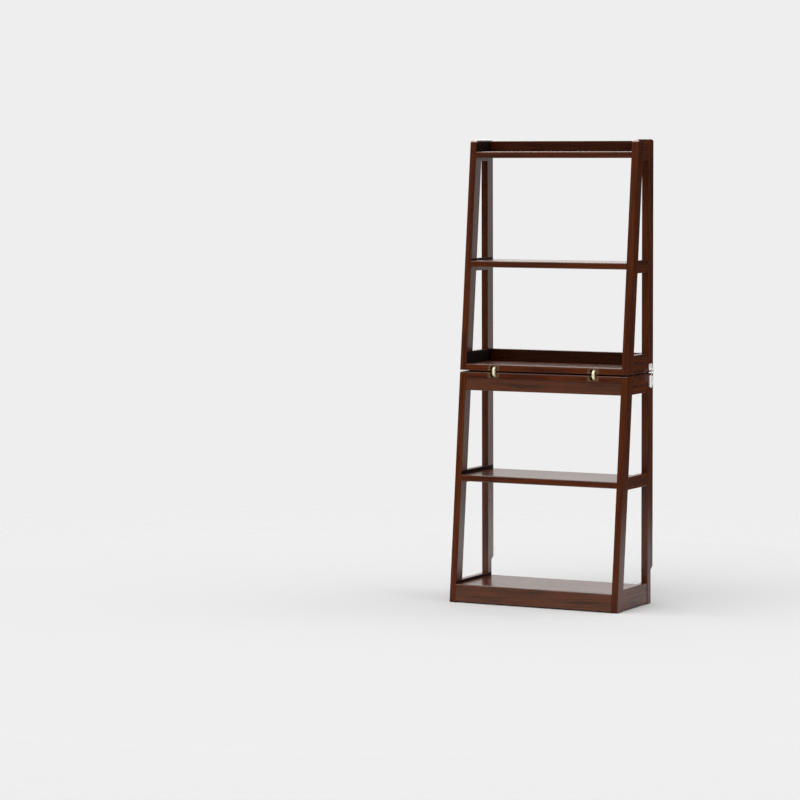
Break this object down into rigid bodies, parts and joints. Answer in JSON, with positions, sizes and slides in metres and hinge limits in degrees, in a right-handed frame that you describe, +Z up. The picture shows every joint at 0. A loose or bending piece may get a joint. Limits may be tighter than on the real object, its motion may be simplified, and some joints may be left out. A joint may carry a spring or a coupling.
{
  "type": "folding display rack",
  "caption": "Open display rack with a sloping front; its upper half swings forward and down over the lower half on double-pin hinges and is held upright by side latches.",
  "frame": {"origin": "on the floor, under the middle of the bounding box", "axes": "+Z up, -Y to the sloping front, +X to the right seen from the front"},
  "size_m": [0.62, 0.2798, 1.505],
  "materials": {
    "walnut_lacquer": "dark reddish-brown walnut lacquer, satin",
    "dowel_wood": "plain beech",
    "seam_rubber": "matt black-brown rubber",
    "leaf_brass": "dull aged brass",
    "link_brass": "polished brass",
    "pin_steel": "plain steel",
    "washer_nylon": "dark nylon",
    "hinge_screw_brass": "dull brass",
    "latch_nickel": "bright nickel plate",
    "latch_screw_nickel": "nickel plate"
  },
  "bodies": {
    "lower": {"lower_front_leg_right": "walnut_lacquer", "lower_front_leg_left": "walnut_lacquer", "lower_rear_post_right": "walnut_lacquer", "lower_rear_post_left": "walnut_lacquer", "lower_bottom_rail_right": "walnut_lacquer", "lower_bottom_rail_left": "walnut_lacquer", "lower_middle_rail_right": "walnut_lacquer", "lower_middle_rail_left": "walnut_lacquer", "lower_top_rail_right": "walnut_lacquer", "lower_top_rail_left": "walnut_lacquer", "lower_top_board": "walnut_lacquer", "lower_front_apron": "walnut_lacquer", "lower_back_apron": "walnut_lacquer", "lower_middle_shelf": "walnut_lacquer", "lower_bottom_shelf": "walnut_lacquer", "lower_front_plinth": "walnut_lacquer", "lower_back_plinth": "walnut_lacquer", "lower_dowels": "dowel_wood", "lower_seam_pads": "seam_rubber", "hinge_leaf_lower_right": "leaf_brass", "hinge_leaf_lower_left": "leaf_brass", "hinge_pins_lower": "pin_steel", "hinge_screws_lower": "hinge_screw_brass", "hinge_washers_lower": "washer_nylon", "latch_base_right": "latch_nickel", "latch_base_left": "latch_nickel", "latch_base_screws": "latch_screw_nickel", "latch_pivots": "latch_screw_nickel"},
    "hinge_links": {"hinge_link_right": "link_brass", "hinge_link_left": "link_brass"},
    "upper": {"upper_front_leg_right": "walnut_lacquer", "upper_front_leg_left": "walnut_lacquer", "upper_rear_post_right": "walnut_lacquer", "upper_rear_post_left": "walnut_lacquer", "upper_top_rail_right": "walnut_lacquer", "upper_top_rail_left": "walnut_lacquer", "upper_middle_rail_right": "walnut_lacquer", "upper_middle_rail_left": "walnut_lacquer", "upper_bottom_rail_right": "walnut_lacquer", "upper_bottom_rail_left": "walnut_lacquer", "upper_tray_board": "walnut_lacquer", "upper_back_apron": "walnut_lacquer", "upper_middle_shelf": "walnut_lacquer", "upper_top_shelf": "walnut_lacquer", "upper_crown_rail": "walnut_lacquer", "upper_dowels": "dowel_wood", "upper_seam_pads": "seam_rubber", "hinge_leaf_upper_right": "leaf_brass", "hinge_leaf_upper_left": "leaf_brass", "hinge_pins_upper": "pin_steel", "hinge_screws_upper": "hinge_screw_brass", "hinge_washers_upper": "washer_nylon", "latch_keeper_right": "latch_nickel", "latch_keeper_left": "latch_nickel", "latch_keeper_screws": "latch_screw_nickel"},
    "lever_right": {"latch_lever_right": "latch_nickel"},
    "loop_right": {"latch_loop_right": "latch_nickel"},
    "lever_left": {"latch_lever_left": "latch_nickel"},
    "loop_left": {"latch_loop_left": "latch_nickel"}
  },
  "joints": [
    {"name": "fold_lower_pins", "type": "hinge", "parent": "lower", "child": "hinge_links", "pos_m": [0, -0.0545, 0.746], "axis": [1, 0, 0], "range_deg": [0, 90]},
    {"name": "fold_upper_pins", "type": "hinge", "parent": "hinge_links", "child": "upper", "pos_m": [0, -0.0545, 0.759], "axis": [1, 0, 0], "range_deg": [0, 90]},
    {"name": "lever_right_swing", "type": "hinge", "parent": "lower", "child": "lever_right", "pos_m": [0.3055, 0.119, 0.7395], "axis": [0, -1, 0], "range_deg": [0, 120]},
    {"name": "loop_right_swing", "type": "hinge", "parent": "lever_right", "child": "loop_right", "pos_m": [0.3048, 0.119, 0.7325], "axis": [0, -1, 0], "range_deg": [-120, 0]},
    {"name": "lever_left_swing", "type": "hinge", "parent": "lower", "child": "lever_left", "pos_m": [-0.3055, 0.119, 0.7395], "axis": [0, 1, 0], "range_deg": [0, 120]},
    {"name": "loop_left_swing", "type": "hinge", "parent": "lever_left", "child": "loop_left", "pos_m": [-0.3048, 0.119, 0.7325], "axis": [0, 1, 0], "range_deg": [-120, 0]}
  ],
  "couplings": [
    {"joint": "fold_lower_pins", "follows": "fold_upper_pins", "ratio": 1},
    {"joint": "loop_right_swing", "follows": "lever_right_swing", "ratio": -1},
    {"joint": "loop_left_swing", "follows": "lever_left_swing", "ratio": -1}
  ]
}
